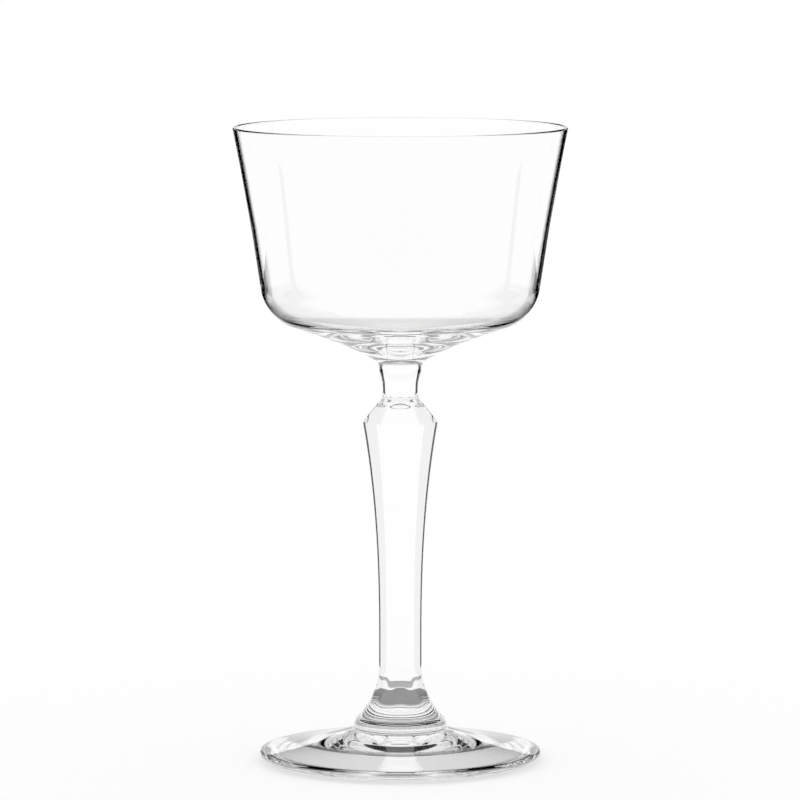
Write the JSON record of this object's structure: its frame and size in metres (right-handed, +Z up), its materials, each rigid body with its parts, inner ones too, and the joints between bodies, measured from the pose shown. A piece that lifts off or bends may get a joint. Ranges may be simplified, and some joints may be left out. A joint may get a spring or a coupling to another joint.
{
  "type": "nick and nora glass",
  "caption": "Clear stemmed cocktail glass with a flared straight-walled bowl on a heavy cone-shaped base, waisted neck, faceted shouldered stem and round foot.",
  "frame": {"origin": "centre of the foot in the plane of the ring that touches the table", "axes": "+Z up along the axis of the glass; two opposite flat faces of the stem look along -Y and +Y"},
  "size_m": [0.0778, 0.0778, 0.148],
  "materials": {
    "clear_glass": "fire-polished colourless glass, smooth and glossy all over"
  },
  "bodies": {
    "root": {"bowl": "clear_glass", "neck": "clear_glass", "stem": "clear_glass", "foot": "clear_glass"}
  },
  "joints": []
}
